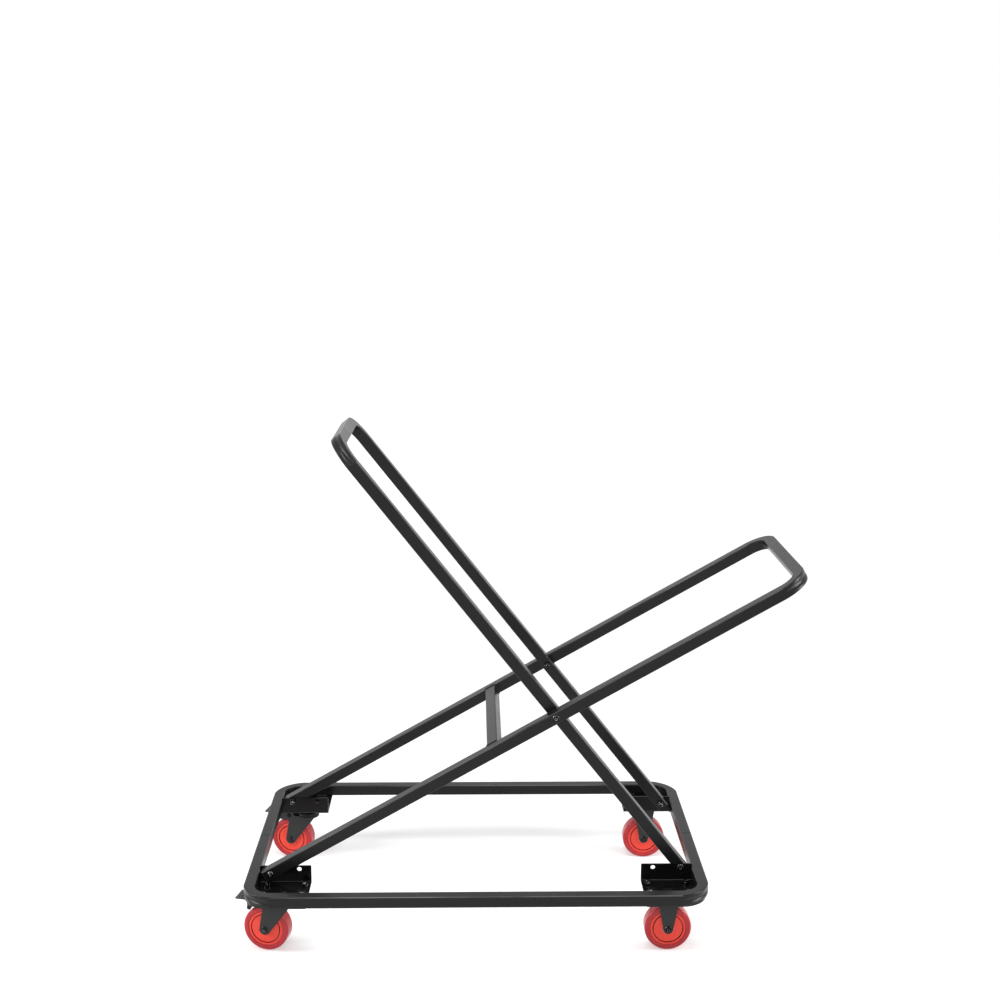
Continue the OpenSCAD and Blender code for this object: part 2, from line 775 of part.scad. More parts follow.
module tread() {
    side = tread_w / 2;
    inner_r = core_r + fit_gap;
    color(tread_red) rotate([90, 0, 0]) rotate_extrude() difference() {
        union() {
            translate([inner_r, -side]) square([wheel_r - tread_round - inner_r, tread_w]);
            translate([inner_r, -side + tread_round]) square([wheel_r - inner_r, tread_w - 2 * tread_round]);
            for (s = [-1, 1])
                translate([wheel_r - tread_round, s * (side - tread_round)]) circle(tread_round);
        }
        for (s = [-1, 1]) translate([inner_r, s * side]) circle(lip_r);
    }
}

// Brake pieces, drawn in the swivel caster's place
module pedal_outline() {
    pin = [-pin_back, pin_z];
    web_end = [-pedal_web, pad_z - pedal_t];
    low = touch_angle(pin, pedal_ear_r, web_end, 1);
    tangent_web(pin, pedal_ear_r, [-pin_back - shoe_back, pin_z - shoe_drop], shoe_boss_r);
    polygon([pin, [-pin_back, pad_z], [-pedal_web, pad_z], web_end,
        pin + pedal_ear_r * [cos(low), sin(low)]]);
}
module foot_pad() {
    inner = pedal_w - 2 * pedal_round;
    length = pedal_reach - pad_start;
    linear_extrude(pedal_t) {
        translate([-pedal_reach, -inner / 2]) square([length, inner]);
        translate([-pedal_reach + pedal_round, -pedal_w / 2]) square([length - pedal_round, pedal_w]);
        for (s = [-1, 1]) translate([-pedal_reach + pedal_round, s * inner / 2]) circle(pedal_round);
        translate([-pad_start - past, -cheek_out]) square([pad_start + past - pin_back, 2 * cheek_out]);
    }
    for (i = [1 : rib_count])
        translate([-pedal_reach + i * length / (rib_count + 1) - rib_w / 2, -inner / 2, pedal_t])
            cube([rib_w, inner, rib_h]);
}
module brake_pedal() {
    color(dark) difference() {
        union() {
            for (s = [0, 1]) mirror([0, s, 0]) translate([0, cheek_out, 0]) rotate([90, 0, 0])
                linear_extrude(pedal_t) pedal_outline();
            translate([0, 0, pad_z - pedal_t]) foot_pad();
        }
        across_bore(-pin_back, pin_z, pin_r + run_gap);
        across_bore(-pin_back - shoe_back, pin_z - shoe_drop, shoe_r + fit_gap);
    }
}
module brake_shoe() {
    color(plastic) translate([-pin_back - shoe_back, 0, pin_z - shoe_drop]) rotate([90, 0, 0])
        cylinder(r = shoe_r, h = 2 * cheek_out, center = true);
}
module brake_pin() {
    color(zinc) translate([-pin_back, 0, pin_z]) rotate([90, 0, 0]) {
        cylinder(r = pin_r, h = 2 * fork_out + rivet_h, center = true);
        for (s = [0, 1]) mirror([0, 0, s]) translate([0, 0, fork_out]) cylinder(r = rivet_r, h = rivet_h);
    }
}

module wheel_piece(piece) {
    if (piece == "axle_bolt") axle_bolt();
    if (piece == "axle_nut") axle_nut();
    if (piece == "axle_sleeve") axle_sleeve();
    if (piece == "wheel_bushes") wheel_bushes();
    if (piece == "wheel_core") wheel_core();
    if (piece == "tread") tread();
}
module swivel_caster_piece(piece, side) {
    translate([-caster_x, side * caster_y, 0]) rotate(-swivel_turn) {
        if (piece == "caster_plate") rotate(swivel_turn) caster_plate();
        if (piece == "swivel_balls") swivel_balls();
        if (piece == "kingpin") kingpin();
        if (piece == "fork") fork();
        if (piece == "brake_pedal") brake_pedal();
        if (piece == "brake_shoe") brake_shoe();
        if (piece == "brake_pin") brake_pin();
        translate([-trail, 0, wheel_r]) wheel_piece(piece);
    }
}
module rigid_caster_piece(piece, side) {
    translate([caster_x, side * caster_y, 0]) {
        if (piece == "fork") rigid_fork();
        translate([0, 0, wheel_r]) wheel_piece(piece);
    }
}

translate([shift_x, 0, 0]) {
    base_front_tube();
    base_rear_tube();
    base_joint_sleeves();
    front_left_bracket();
    front_right_bracket();
    rear_left_bracket();
    rear_right_bracket();
    handle_frame();
    handle_cross_bar();
    back_frame();
    handle_end_caps();
    back_end_caps();
    pivot_bolts();
    pivot_nuts();
    pivot_spacers();
    bracket_bolts();
    bracket_nuts();
    caster_bolts();
    caster_nuts();
    for (piece = SWIVEL_NODES) {
        swivel_caster_piece(piece, -1);
        swivel_caster_piece(piece, 1);
    }
    for (piece = RIGID_NODES) {
        rigid_caster_piece(piece, -1);
        rigid_caster_piece(piece, 1);
    }
}
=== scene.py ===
"""Looks of the stacking chair trolley: black powder coated tube, plated steel and red urethane wheels."""

import json
import math

import bmesh
import bpy
from mathutils import Matrix, Vector

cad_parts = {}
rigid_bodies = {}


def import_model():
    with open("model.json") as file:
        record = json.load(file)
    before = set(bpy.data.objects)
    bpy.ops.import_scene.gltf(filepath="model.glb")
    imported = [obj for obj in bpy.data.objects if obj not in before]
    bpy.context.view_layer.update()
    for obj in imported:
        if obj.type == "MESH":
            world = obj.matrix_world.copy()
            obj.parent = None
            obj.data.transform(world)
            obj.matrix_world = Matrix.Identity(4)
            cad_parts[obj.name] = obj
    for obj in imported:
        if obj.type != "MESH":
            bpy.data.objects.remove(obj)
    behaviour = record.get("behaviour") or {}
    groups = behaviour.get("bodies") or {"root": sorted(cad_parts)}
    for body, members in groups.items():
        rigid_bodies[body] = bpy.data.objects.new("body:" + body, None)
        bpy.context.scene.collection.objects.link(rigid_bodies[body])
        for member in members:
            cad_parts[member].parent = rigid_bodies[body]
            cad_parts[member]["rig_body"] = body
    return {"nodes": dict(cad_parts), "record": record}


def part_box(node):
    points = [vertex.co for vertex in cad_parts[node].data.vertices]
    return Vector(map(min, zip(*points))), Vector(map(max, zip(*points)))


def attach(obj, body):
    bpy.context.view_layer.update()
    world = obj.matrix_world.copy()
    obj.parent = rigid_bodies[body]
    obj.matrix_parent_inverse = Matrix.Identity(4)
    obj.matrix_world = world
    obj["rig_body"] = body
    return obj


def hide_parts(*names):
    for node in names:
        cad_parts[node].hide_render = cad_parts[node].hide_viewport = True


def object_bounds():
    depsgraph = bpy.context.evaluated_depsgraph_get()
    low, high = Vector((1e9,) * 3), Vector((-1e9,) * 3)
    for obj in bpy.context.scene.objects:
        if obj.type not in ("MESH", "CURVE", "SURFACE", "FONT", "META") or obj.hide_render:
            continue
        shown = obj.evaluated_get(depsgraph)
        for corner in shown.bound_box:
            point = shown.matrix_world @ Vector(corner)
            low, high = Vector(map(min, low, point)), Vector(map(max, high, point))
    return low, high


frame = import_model()
cad_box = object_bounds()

MM = 0.001

# Camera of the photograph, in metres from the middle of the base on the floor
EYE = Vector((-0.0061, -3.1537, 1.5739))
PITCH = math.radians(11.237)
YAW = math.radians(1.066)
ROLL = math.radians(0.161)
LENS_MM = 52.46

# Studio: the floor is lifted to white where it is seen, more so far from the lamps
FLOOR_SIZE = 60.0
FLOOR_COLOUR = (0.8, 0.8, 0.8, 1)
NEAR_LIFT, FAR_LIFT = 0.30, 0.80
NEAR_REACH, FAR_REACH = 1.2, 5.0
FLOOR_DROP = 0.1 * MM
SKY_FILL = 0.40

# Lamps: name, place, what they are aimed at, width and height in metres, power in watts
LAMPS = (
    ("front_softbox", (-0.7, -3.4, 2.1), (0.0, 0.0, 0.3), 1.2, 1.2, 30.0),
    ("top_softbox", (0.0, -1.0, 3.0), (0.0, 0.0, 0.3), 1.8, 1.2, 48.0),
    ("left_strip", (-2.3, -0.4, 1.3), (0.0, 0.0, 0.4), 0.6, 1.8, 40.0),
    ("right_strip", (2.3, -0.4, 1.1), (0.0, 0.0, 0.4), 0.6, 1.6, 40.0),
)

# Corners of the base: braked swivel casters on the left, rigid ones on the right
LEFT_CORNERS = ("front_left", "rear_left")
RIGHT_CORNERS = ("front_right", "rear_right")
CORNERS = LEFT_CORNERS + RIGHT_CORNERS

# Tube, sheet of the brackets and the lean of both frames
TUBE = 25.4 * MM
TUBE_ROUND = 2.6 * MM
ROUND_STEPS = 5
SHEET = 3.0 * MM
HANDLE_LEAN = math.atan2(351.8, 615.0)
BACK_LEAN = math.atan2(351.8, 277.0)

# Wheels: inner and outer radius of the groove in the hub's face
GROOVE_IN, GROOVE_OUT = 31.4 * MM, 33.2 * MM

# Rivets in the arms of the braked forks: place behind the kingpin, then radius and distance out
SWIVEL_TURN = math.radians(14)
RIVET_PLACE = (-42.3 * MM, 112.5 * MM)
RIVET_PROFILE = [(r * MM, out * MM) for r, out in (
    (3.7, 18.5), (3.7, 21.5), (5.2, 21.5), (5.2, 22.0), (4.7, 22.7), (3.6, 23.2), (2.0, 23.5))]
RIVET_SIDES = 32

# Rounding of the edges, by kind of piece
SHEET_EASE = 0.35 * MM
PEDAL_EASE = 0.3 * MM
HUB_EASE = 0.3 * MM
FASTENER_EASE = 0.4 * MM
EASE_STEPS = 2
EVEN_WEIGHT = 90

# Weld beads: radius and pitch of the ripples
CROSS_BAR_BEAD = (1.9 * MM, 2.4 * MM)
BRACKET_BEAD = (1.8 * MM, 2.6 * MM)
FLANGE_BEAD = (1.9 * MM, 2.4 * MM)
# Shape of a bead: sides, share of the ripples, share left at an open end and rings over which it grows
BEAD_SIDES = 10
BEAD_RIPPLE = 0.1
BEAD_TIP = 0.35
BEAD_TIP_RINGS = 3
# Place of the beads: off the rail's side, length at the brackets, starts along the rails, steps
CROSS_BAR_OFF = 0.4 * MM
BEAD_SIDE_STEPS = 24
BRACKET_BEAD_LENGTH = 26 * MM
BRACKET_BEAD_STARTS = (22 * MM, 74 * MM)
BRACKET_SIDE_START = 52 * MM
BRACKET_STEPS = 28
FLANGE_STEPS = 24

# Seams of the base: half of the width, and how far they stand out of the tube
SEAM_HALF_WIDTH = 0.9 * MM
SEAM_PROUD = 0.03 * MM
SEAM_SIDE_STEPS = 2

# Mesh work: a face belongs to a straight run of tube if it leans along it by less than STRAIGHT_RUN
WELD_DISTANCE = 1e-6
FLAT_ANGLE = math.radians(0.4)
SHARP_ANGLE = math.radians(32)
STRAIGHT_RUN = 0.02
UPWARD = 0.7
TOP_SKIN = 0.1 * MM

# Marks on the faces, which the finishes read. The edge band carries painted highlights and glints (on the
# sheet partly wear), the hub's groove and the plate top carry painted shade, and the fasteners' mark
# carries painted glints.
EDGE_BAND = "edge_band"
HUB_BAND = "hub_band"
HUB_GROOVE_SHADE = "hub_groove_shade"
PLATE_TOP = "plate_top"
FOOT_WEAR = "foot_wear"
PAINTED_GLINTS = "painted_glints"
SEAM_DEPTH = "seam_depth"


def base_middle():
    """Place of the base's middle along X."""
    low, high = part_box("base_front_tube")
    return (low.x + high.x) / 2


class Tree:
    """Adds nodes to one node tree, and links or sets their inputs."""

    def __init__(self, tree):
        self.tree = tree

    def add(self, kind, inputs=None, **settings):
        node = self.tree.nodes.new("ShaderNode" + kind)
        for name, value in settings.items():
            setattr(node, name, value)
        for socket, value in (inputs or {}).items():
            self.feed(node.inputs[socket], value)
        return node

    def feed(self, socket, value):
        if isinstance(value, bpy.types.NodeSocket):
            self.tree.links.new(value, socket)
        else:
            socket.default_value = value

    def math(self, operation, *values):
        return self.add("Math", dict(enumerate(values)), operation=operation).outputs[0]

    def span(self, value, low, high, to_low=0.0, to_high=1.0):
        """Maps a value from one span to another, held at both ends."""
        node = self.add("MapRange", {"Value": value, "From Min": low, "From Max": high,
                                     "To Min": to_low, "To Max": to_high})
        return node.outputs["Result"]

    def between(self, factor, low, high):
        """Value between two ends, by a factor from 0 to 1."""
        return self.span(factor, 0.0, 1.0, low, high)

    def mark(self, name):
        """What a face is marked with, 0 where it has no mark."""
        return self.add("Attribute", attribute_name=name, attribute_type="GEOMETRY").outputs["Fac"]

    def blend(self, factor, first, second):
        """Mixes two colours."""
        node = self.add("Mix", data_type="RGBA")
        for name, value in (("Factor_Float", factor), ("A_Color", first), ("B_Color", second)):
            self.feed(next(s for s in node.inputs if s.identifier == name), value)
        return next(s for s in node.outputs if s.identifier == "Result_Color")


def effect_group(name, inputs, outputs):
    """Node group with named number sockets: its tree helper, its inputs and its output node."""
    group = bpy.data.node_groups.new(name, "ShaderNodeTree")
    for socket in inputs:
        group.interface.new_socket(name=socket, in_out="INPUT", socket_type="NodeSocketFloat")
    for socket in outputs:
        group.interface.new_socket(name=socket, in_out="OUTPUT", socket_type="NodeSocketFloat")
    entry = group.nodes.new("NodeGroupInput")
    leave = group.nodes.new("NodeGroupOutput")
    return Tree(group), entry.outputs, leave


def powder_grain_group():
    """Fine pebble of a sprayed coat, with slow drifts of shade and gloss over the surface."""
    tree, given, leave = effect_group(
        "powder_grain", ("Pebbles per metre", "Drift per metre"), ("Height", "Shade", "Gloss"))
    place = tree.add("TexCoord").outputs["Object"]
    pebble = tree.add("TexNoise", {"Vector": place, "Scale": given["Pebbles per metre"],
                                   "Detail": 2.0, "Roughness": 0.55})
    drift = tree.add("TexNoise", {"Vector": place, "Scale": given["Drift per metre"],
                                  "Detail": 4.0, "Roughness": 0.6})
    speck = tree.span(pebble.outputs[0], 0.3, 0.7)
    slow = tree.math("MULTIPLY", drift.outputs[0], 0.65)
    tree.feed(leave.inputs["Height"], speck)
    tree.feed(leave.inputs["Shade"], tree.math("MULTIPLY_ADD", speck, 0.35, slow))
    tree.feed(leave.inputs["Gloss"], tree.span(drift.outputs[0], 0.25, 0.75))
    return tree.tree


def rub_marks_group():
    """Faint long rubs from handling, stretched along one direction of the piece."""
    tree, given, leave = effect_group("rub_marks", ("Rubs per metre", "Spread"), ("Mask",))
    place = tree.add("TexCoord").outputs["Object"]
    stretched = tree.add("Mapping", {"Vector": place, "Scale": (0.16, 1.0, 1.0),
                                     "Rotation": (0.0, 0.35, 0.2)})
    rubs = tree.add("TexNoise", {"Vector": stretched.outputs[0], "Scale": given["Rubs per metre"],
                                 "Detail": 6.0, "Roughness": 0.7})
    patches = tree.add("TexNoise", {"Vector": place, "Scale": 7.0, "Detail": 1.0})
    lines = tree.span(rubs.outputs[0], 0.62, 0.74)
    where = tree.span(tree.math("ADD", patches.outputs[0], given["Spread"]), 0.55, 0.75)
    tree.feed(leave.inputs["Mask"], tree.math("MULTIPLY", lines, where))
    return tree.tree


def edge_band_group():
    """Strip along the marked edges of a piece, broken up so that it isn't even; the finishes lighten it
    as a painted highlight, on the sheet partly as wear, and as glints on the fasteners.
    """
    tree, given, leave = effect_group("eased_edges", ("Breaks per metre",), ("Mask",))
    band = tree.mark(EDGE_BAND)
    place = tree.add("TexCoord").outputs["Object"]
    breaks = tree.add("TexNoise", {"Vector": place, "Scale": given["Breaks per metre"], "Detail": 3.0})
    broken = tree.span(breaks.outputs[0], 0.35, 0.65)
    tree.feed(leave.inputs["Mask"], tree.math("MULTIPLY", band, broken))
    return tree.tree


class Finish:
    """A material with its tree helper and its surface shader."""

    def __init__(self, name, **surface):
        self.material = bpy.data.materials.new(name)
        self.material.use_nodes = True
        self.tree = Tree(self.material.node_tree)
        self.surface = self.material.node_tree.nodes["Principled BSDF"]
        for socket, value in surface.items():
            self.surface.inputs[socket.replace("_", " ")].default_value = value

    def effect(self, group, **inputs):
        node = self.tree.add("Group", node_tree=group)
        for socket, value in inputs.items():
            node.inputs[socket.replace("_", " ")].default_value = value
        return node.outputs

    def set(self, socket, value):
        self.tree.feed(self.surface.inputs[socket], value)

    def relief(self, height, depth):
        """Bump of a given depth in metres."""
        bump = self.tree.add("Bump", {"Height": height, "Distance": depth, "Strength": 1.0})
        self.set("Normal", bump.outputs[0])


powder_grain = powder_grain_group()
rub_marks = rub_marks_group()
eased_edges = edge_band_group()


def frame_paint():
    """Satin black powder coat of the tubes, with a painted highlight along their upper edges and faint
    rubs.
    """
    dark, light, rubbed = (0.004, 0.004, 0.0042, 1), (0.009, 0.009, 0.0093, 1), (0.12, 0.12, 0.123, 1)
    finish = Finish("frame_paint", IOR=1.29)
    tree = finish.tree
    grain = finish.effect(powder_grain, Pebbles_per_metre=900.0, Drift_per_metre=14.0)
    rubs = finish.effect(rub_marks, Rubs_per_metre=260.0, Spread=0.0)
    edges = finish.effect(eased_edges, Breaks_per_metre=5.0)
    coat = tree.blend(grain["Shade"], dark, light)
    # The rubbed colour is mostly a painted highlight along the upper edges; at a small share it shows the
    # rubs.
    wear_and_highlight = tree.math("MAXIMUM", edges["Mask"], tree.math("MULTIPLY", rubs["Mask"], 0.08))
    finish.set("Base Color", tree.blend(wear_and_highlight, coat, rubbed))
    gloss = tree.between(grain["Gloss"], 0.25, 0.33)
    finish.set("Roughness", tree.math("SUBTRACT", gloss, tree.math("MULTIPLY", rubs["Mask"], 0.08)))
    finish.relief(grain["Height"], 0.04 * MM)
    return finish.material


def sheet_paint():
    """Duller black coat of the pressed forks and pedals, with lighter edges, partly wear and partly a
    painted highlight, and painted shade on the top of the fork plates under the brackets.
    """
    dark, light, rubbed = (0.015, 0.0155, 0.016, 1), (0.03, 0.0305, 0.031, 1), (0.075, 0.075, 0.077, 1)
    shaded = (0.002, 0.002, 0.002, 1)
    finish = Finish("sheet_paint", IOR=1.32)
    tree = finish.tree
    grain = finish.effect(powder_grain, Pebbles_per_metre=1300.0, Drift_per_metre=30.0)
    rubs = finish.effect(rub_marks, Rubs_per_metre=380.0, Spread=0.05)
    edges = finish.effect(eased_edges, Breaks_per_metre=120.0)
    # Painted shade on the top of a fork's plate, under the bracket.
    top = tree.mark(PLATE_TOP)
    coat = tree.blend(top, tree.blend(grain["Shade"], dark, light), shaded)
    # Lighter edges, partly wear and partly a painted highlight, and rubs.
    wear_and_highlight = tree.math("MAXIMUM", tree.math("MULTIPLY", edges["Mask"], 0.35),
                     tree.math("MULTIPLY", rubs["Mask"], 0.2))
    trodden = tree.mark(FOOT_WEAR)
    scuffs = tree.math("MULTIPLY", trodden, tree.between(grain["Gloss"], 0.5, 0.9))
    finish.set("Base Color", tree.blend(tree.math("MAXIMUM", wear_and_highlight, scuffs), coat, rubbed))
    finish.set("Roughness", tree.between(grain["Gloss"], 0.46, 0.58))
    finish.relief(grain["Height"], 0.03 * MM)
    return finish.material


def bracket_paint():
    """Deep black glossy coat of the folded corner brackets."""
    dark, light, rubbed = (0.002, 0.002, 0.0021, 1), (0.005, 0.005, 0.0052, 1), (0.03, 0.03, 0.031, 1)
    finish = Finish("bracket_paint", IOR=1.27)
    tree = finish.tree
    grain = finish.effect(powder_grain, Pebbles_per_metre=1100.0, Drift_per_metre=24.0)
    rubs = finish.effect(rub_marks, Rubs_per_metre=420.0, Spread=0.0)
    coat = tree.blend(grain["Shade"], dark, light)
    finish.set("Base Color", tree.blend(tree.math("MULTIPLY", rubs["Mask"], 0.12), coat, rubbed))
    finish.set("Roughness", tree.between(grain["Gloss"], 0.18, 0.26))
    finish.relief(grain["Height"], 0.02 * MM)
    return finish.material


def dark_bolt():
    """Blackened steel of the bolts and nuts, with painted glints: bright metal in random patches and
    along the edges.
    """
    dark, light, glint_metal = (0.005, 0.005, 0.005, 1), (0.018, 0.018, 0.019, 1), (0.6, 0.6, 0.61, 1)
    finish = Finish("dark_bolt", Metallic=1.0)
    tree = finish.tree
    grain = finish.effect(powder_grain, Pebbles_per_metre=2200.0, Drift_per_metre=190.0)
    edges = finish.effect(eased_edges, Breaks_per_metre=300.0)
    black = tree.blend(grain["Shade"], dark, light)
    # Painted glints: bright metal in random patches on the marked fasteners and along their eased edges.
    turned = tree.mark(PAINTED_GLINTS)
    glint_patches = tree.math("MULTIPLY", turned, tree.span(grain["Gloss"], 0.66, 0.78))
    finish.set("Base Color", tree.blend(tree.math("MAXIMUM", edges["Mask"], glint_patches), black, glint_metal))
    finish.set("Roughness", tree.between(grain["Gloss"], 0.2, 0.34))
    finish.relief(grain["Height"], 0.015 * MM)
    return finish.material


def zinc_steel():
    """Dull grey plated steel of the pins, sleeves and bearing pieces."""
    dark, light, rubbed = (0.1, 0.1, 0.105, 1), (0.19, 0.19, 0.195, 1), (0.06, 0.06, 0.06, 1)
    finish = Finish("zinc_steel", Metallic=1.0)
    tree = finish.tree
    grain = finish.effect(powder_grain, Pebbles_per_metre=1600.0, Drift_per_metre=220.0)
    rubs = finish.effect(rub_marks, Rubs_per_metre=900.0, Spread=0.2)
    plate = tree.blend(grain["Gloss"], dark, light)
    finish.set("Base Color", tree.blend(tree.math("MULTIPLY", rubs["Mask"], 0.5), plate, rubbed))
    finish.set("Roughness", tree.span(grain["Shade"], 0.2, 0.8, 0.3, 0.46))
    finish.relief(grain["Height"], 0.02 * MM)
    return finish.material


def black_plastic():
    """Matt moulded plastic of the end caps, spacers and brake shoes, duller still in a seam."""
    dark, light = (0.004, 0.004, 0.004, 1), (0.01, 0.01, 0.01, 1)
    finish = Finish("black_plastic", IOR=1.28)
    tree = finish.tree
    grain = finish.effect(powder_grain, Pebbles_per_metre=1500.0, Drift_per_metre=60.0)
    finish.set("Base Color", tree.blend(grain["Shade"], dark, light))
    seam = tree.mark(SEAM_DEPTH)
    finish.set("Roughness", tree.math("MAXIMUM", tree.between(grain["Gloss"], 0.5, 0.62), seam))
    finish.relief(grain["Height"], 0.05 * MM)
    return finish.material


def core_plastic():
    """Bright orange red moulding of the wheel cores, with painted shade in the groove of the hub's face.
    """
    disc_dark, disc_light = (0.74, 0.05, 0.03, 1), (0.82, 0.064, 0.042, 1)
    ring_dark, ring_light = (0.84, 0.068, 0.036, 1), (0.9, 0.084, 0.046, 1)
    rubbed, groove_shade = (0.72, 0.16, 0.12, 1), (0.07, 0.001, 0.004, 1)
    finish = Finish("core_plastic", IOR=1.36, Subsurface_Weight=0.12, Subsurface_Scale=0.004)
    tree = finish.tree
    grain = finish.effect(powder_grain, Pebbles_per_metre=1100.0, Drift_per_metre=45.0)
    rubs = finish.effect(rub_marks, Rubs_per_metre=500.0, Spread=0.05)
    band = tree.mark(HUB_BAND)
    groove = tree.mark(HUB_GROOVE_SHADE)
    disc = tree.blend(grain["Gloss"], disc_dark, disc_light)
    ring = tree.blend(grain["Gloss"], ring_dark, ring_light)
    clean = tree.blend(band, disc, ring)
    used = tree.blend(tree.math("MULTIPLY", rubs["Mask"], 0.15), clean, rubbed)
    # Painted shade: the groove and its eased rims take a deep dark red.
    finish.set("Base Color", tree.blend(groove, used, groove_shade))
    finish.set("Roughness", tree.span(grain["Shade"], 0.2, 0.8, 0.36, 0.48))
    finish.relief(grain["Height"], 0.03 * MM)
    return finish.material


def tread_urethane():
    """Dark red urethane of the treads, glossy, with dull rubs from the floor."""
    dark, light, rubbed = (0.38, 0.022, 0.028, 1), (0.48, 0.034, 0.04, 1), (0.46, 0.11, 0.12, 1)
    finish = Finish("tread_urethane", IOR=1.32, Subsurface_Weight=0.15, Subsurface_Scale=0.005)
    tree = finish.tree
    grain = finish.effect(powder_grain, Pebbles_per_metre=500.0, Drift_per_metre=38.0)
    rubs = finish.effect(rub_marks, Rubs_per_metre=420.0, Spread=0.1)
    red = tree.blend(grain["Gloss"], dark, light)
    finish.set("Base Color", tree.blend(tree.math("MULTIPLY", rubs["Mask"], 0.2), red, rubbed))
    finish.set("Roughness", tree.math("ADD", tree.between(grain["Gloss"], 0.06, 0.1),
                                      tree.math("MULTIPLY", rubs["Mask"], 0.15)))
    finish.relief(grain["Height"], 0.03 * MM)
    return finish.material


FINISHES = {make.__name__: make() for make in (
    frame_paint, sheet_paint, bracket_paint, dark_bolt,
    zinc_steel, black_plastic, core_plastic, tread_urethane)}


def paint_nodes():
    """Gives every CAD node the finish of its slot."""
    for part in frame["record"]["subparts"]:
        materials = frame["nodes"][part["node"]].data.materials
        materials.clear()
        materials.append(FINISHES[part["material_slot"]])


def slot_of(node):
    return next(p["material_slot"] for p in frame["record"]["subparts"] if p["node"] == node)


def body_of(node):
    return frame["nodes"][node]["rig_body"]


def tube_box(corner):
    """Box of the base tube at a corner."""
    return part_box("base_front_tube" if corner.startswith("front") else "base_rear_tube")


def show(name, mesh, body, slot):
    """Puts a new piece on a body, with the finish of a slot."""
    piece = bpy.data.objects.new(name, mesh)
    bpy.context.scene.collection.objects.link(piece)
    mesh.materials.append(FINISHES[slot])
    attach(piece, body)
    return piece


def close_mesh(work, name, smooth=()):
    """Mesh of the work, with its faces turned outward and the given ones shaded round."""
    bmesh.ops.recalc_face_normals(work, faces=work.faces)
    for face in smooth:
        face.smooth = True
    mesh = bpy.data.meshes.new(name)
    work.to_mesh(mesh)
    work.free()
    return mesh


def ease_edges(node, width, mark=None):
    """Stands for a sharp-edged node with the same form, whose edges are rounded over."""
    mesh = bpy.data.meshes.new(node + "_eased")
    work = bmesh.new()
    work.from_mesh(frame["nodes"][node].data)
    bmesh.ops.remove_doubles(work, verts=work.verts, dist=WELD_DISTANCE)
    bmesh.ops.dissolve_limit(work, angle_limit=FLAT_ANGLE, verts=work.verts, edges=work.edges)
    sharp = [e for e in work.edges if e.is_manifold and e.calc_face_angle() > SHARP_ANGLE]
    band = work.faces.layers.float.new(EDGE_BAND)
    made = bmesh.ops.bevel(work, geom=sharp, offset=width, segments=EASE_STEPS, profile=0.5,
                           affect="EDGES", clamp_overlap=True)
    for face in made["faces"]:
        face[band] = 1.0
    for face in work.faces:
        face.smooth = True
    if mark:
        mark(work)
    work.to_mesh(mesh)
    work.free()
    piece = show(node + "_eased", mesh, body_of(node), slot_of(node))
    piece.modifiers.new("even_shading", "WEIGHTED_NORMAL").weight = EVEN_WEIGHT
    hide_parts(node)


def mark_hub(corner):
    """Marks the outer band, and the groove for painted shade, on the faces of one wheel's core."""
    spin = next(j for j in frame["record"]["behaviour"]["joints"] if j["name"] == corner + "_wheel_spin")
    centre, axis = Vector(spin["pos_m"]), Vector(spin["axis"]).normalized()

    def mark(work):
        band = work.faces.layers.float.new(HUB_BAND)
        groove = work.faces.layers.float.new(HUB_GROOVE_SHADE)
        for face in work.faces:
            place = face.calc_center_median()
            within = GROOVE_IN - HUB_EASE < radius(place) < GROOVE_OUT + HUB_EASE
            face[groove] = float(within)
            face[band] = float(radius(place) > GROOVE_OUT)

    def radius(place):
        arm = place - centre
        return (arm - axis * arm.dot(axis)).length

    return mark


def mark_foot_wear(work):
    """Marks the upper faces of a brake pedal, which shoes scuff."""
    wear = work.faces.layers.float.new(FOOT_WEAR)
    for face in work.faces:
        face[wear] = float(face.normal.z > UPWARD)


def mark_painted_glints(work):
    """Marks all faces of fasteners for painted glints: random patches of bright metal."""
    wear = work.faces.layers.float.new(PAINTED_GLINTS)
    for face in work.faces:
        face[wear] = 1.0


def mark_plate_top(work):
    """Marks the top face of a fork's plate, which gets painted shade where it lies under the bracket."""
    top = work.faces.layers.float.new(PLATE_TOP)
    height = max(v.co.z for v in work.verts)
    for face in work.faces:
        face[top] = float(face.calc_center_median().z > height - TOP_SKIN)


def paint_upper_edge_highlights(node, upright):
    """Stands for a tube with the same mesh, marked for a painted highlight along the upper edges of
    straight runs.

    Upright is the way that the tube's upper side faces. The painted highlight is full halfway round a
    rounded edge.
    """
    mesh = frame["nodes"][node].data.copy()
    mesh.materials.clear()
    level = Vector((0.0, 1.0, 0.0))
    runs = (level, upright.cross(level))
    marks = []
    for face in mesh.polygons:
        straight = min(abs(face.normal.dot(run)) for run in runs) < STRAIGHT_RUN
        rise = max(0.0, face.normal.dot(upright))
        marks.append(4 * rise * rise * (1 - rise * rise) if straight else 0.0)
    band = mesh.attributes.new(name=EDGE_BAND, type="FLOAT", domain="FACE")
    band.data.foreach_set("value", marks)
    piece = show(node + "_edge_highlight", mesh, body_of(node), slot_of(node))
    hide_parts(node)


def join_rings(work, ring, following):
    """Faces all round between two rings of points, in their order."""
    count = len(ring)
    return [work.faces.new((ring[k], ring[(k + 1) % count], following[(k + 1) % count], following[k]))
            for k in range(count)]


